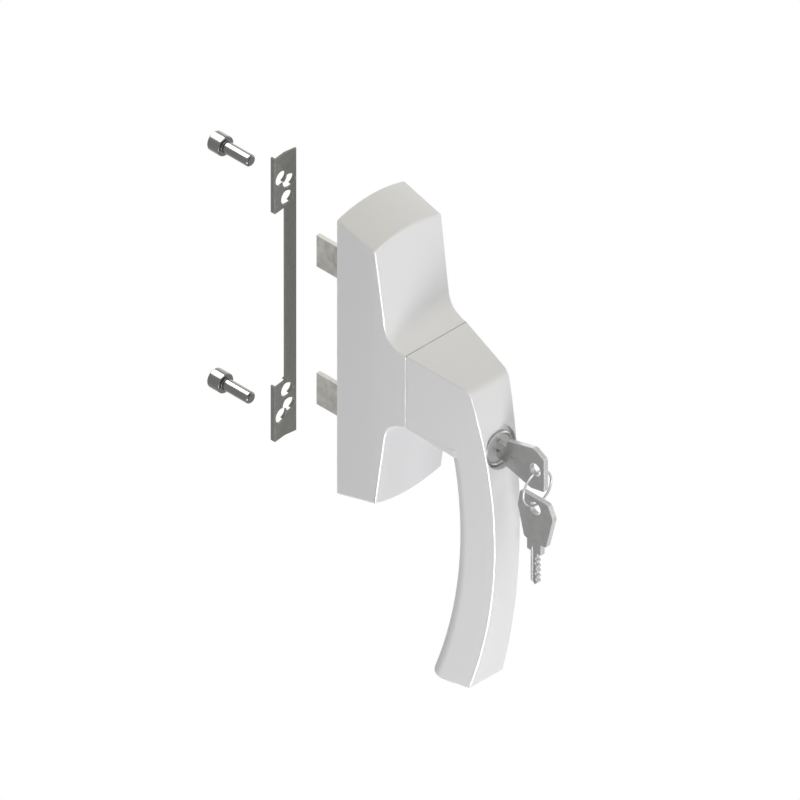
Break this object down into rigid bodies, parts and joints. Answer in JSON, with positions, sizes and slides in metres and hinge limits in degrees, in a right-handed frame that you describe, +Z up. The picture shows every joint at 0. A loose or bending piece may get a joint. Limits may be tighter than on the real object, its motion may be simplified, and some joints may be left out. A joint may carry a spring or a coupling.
{
  "type": "lockable espagnolette window handle",
  "caption": "Lockable window handle on a raised base whose gearbox draws two drive prongs together, shown with its fixing plate, screws and keys set apart.",
  "frame": {"origin": "where the handle's pivot axis meets the back face of the base, which rests on the sash", "axes": "+Z up along the base, +X to the right seen from the room, +Y from the room towards the sash"},
  "size_m": [0.037, 0.1799, 0.1973],
  "materials": {
    "base_satin": "satin silver lacquer",
    "handle_satin": "satin silver lacquer",
    "plated_steel": "zinc plated",
    "prong_steel": "brushed, zinc plated",
    "bright_steel": "polished",
    "spring_steel": "drawn wire",
    "brass": "turned",
    "nylon": "moulded",
    "lock_nickel": "satin nickel",
    "key_nickel": "satin nickel",
    "ring_wire": "polished nickel",
    "dark_steel": "dark passivated",
    "dark_screw": "dark polished"
  },
  "bodies": {
    "base": {"base_casing": "base_satin", "back_plate": "plated_steel", "back_plate_screws": "bright_steel", "threaded_inserts": "brass", "pivot_bush": "nylon", "detent_ball": "bright_steel", "detent_spring": "spring_steel"},
    "handle": {"handle_casting": "handle_satin", "spindle": "plated_steel", "spindle_pin": "bright_steel", "drive_pinion": "plated_steel", "index_disc": "plated_steel", "spacer_sleeve": "nylon", "thrust_washer": "bright_steel", "retaining_clip": "spring_steel", "lock_barrel": "lock_nickel", "lock_spring": "spring_steel"},
    "lock_plug": {"lock_plug": "lock_nickel", "lock_wafers": "brass"},
    "lock_bolt": {"lock_bolt": "bright_steel"},
    "key": {"key": "key_nickel"},
    "key_ring": {"key_ring": "ring_wire"},
    "spare_key": {"spare_key": "key_nickel"},
    "upper_slide": {"upper_rack": "plated_steel", "upper_prong": "prong_steel", "upper_rivets": "bright_steel"},
    "lower_slide": {"lower_rack": "plated_steel", "lower_prong": "prong_steel", "lower_rivets": "bright_steel"},
    "fixing_plate": {"fixing_plate": "dark_steel"},
    "fixing_screw_upper": {"fixing_screw_upper": "dark_screw"},
    "fixing_screw_lower": {"fixing_screw_lower": "dark_screw"}
  },
  "joints": [
    {"name": "handle_turn", "type": "hinge", "parent": "base", "child": "handle", "pos_m": [0, 0, 0], "axis": [0, -1, 0], "range_deg": [0, 90]},
    {"name": "upper_slide_travel", "type": "slide", "parent": "base", "child": "upper_slide", "axis": [0, 0, 1], "range_m": [-0.0158, 0]},
    {"name": "lower_slide_travel", "type": "slide", "parent": "base", "child": "lower_slide", "axis": [0, 0, 1], "range_m": [0, 0.0158]},
    {"name": "lock_turn", "type": "hinge", "parent": "handle", "child": "lock_plug", "pos_m": [0, -0.0695, -0.0174], "axis": [0, -1, 0], "range_deg": [0, 90]},
    {"name": "lock_bolt_travel", "type": "slide", "parent": "handle", "child": "lock_bolt", "axis": [0, 1, 0], "range_m": [0, 0.0041], "deforming": ["lock_spring"]},
    {"name": "key_draw", "type": "slide", "parent": "lock_plug", "child": "key", "axis": [0, -1, 0], "range_m": [0, 0.025]},
    {"name": "ring_swing", "type": "hinge", "parent": "key", "child": "key_ring", "pos_m": [0, -0.0904, -0.0182], "axis": [-1, 0, 0], "range_deg": [-8, 60]},
    {"name": "spare_key_swing", "type": "hinge", "parent": "key_ring", "child": "spare_key", "pos_m": [0, -0.0904, -0.0332], "axis": [-1, 0, 0], "range_deg": [-6, 15]},
    {"name": "plate_seat", "type": "slide", "parent": "base", "child": "fixing_plate", "axis": [0, -1, 0], "range_m": [0, 0.0413]},
    {"name": "upper_screw_seat", "type": "slide", "parent": "fixing_plate", "child": "fixing_screw_upper", "axis": [0, -1, 0], "range_m": [0, 0.0277]},
    {"name": "lower_screw_seat", "type": "slide", "parent": "fixing_plate", "child": "fixing_screw_lower", "axis": [0, -1, 0], "range_m": [0, 0.0277]}
  ],
  "couplings": [
    {"joint": "upper_slide_travel", "follows": "handle_turn", "m_per_rad": -0.01},
    {"joint": "lower_slide_travel", "follows": "handle_turn", "m_per_rad": 0.01},
    {"joint": "lock_bolt_travel", "follows": "lock_turn", "m_per_rad": 0.0025465}
  ]
}
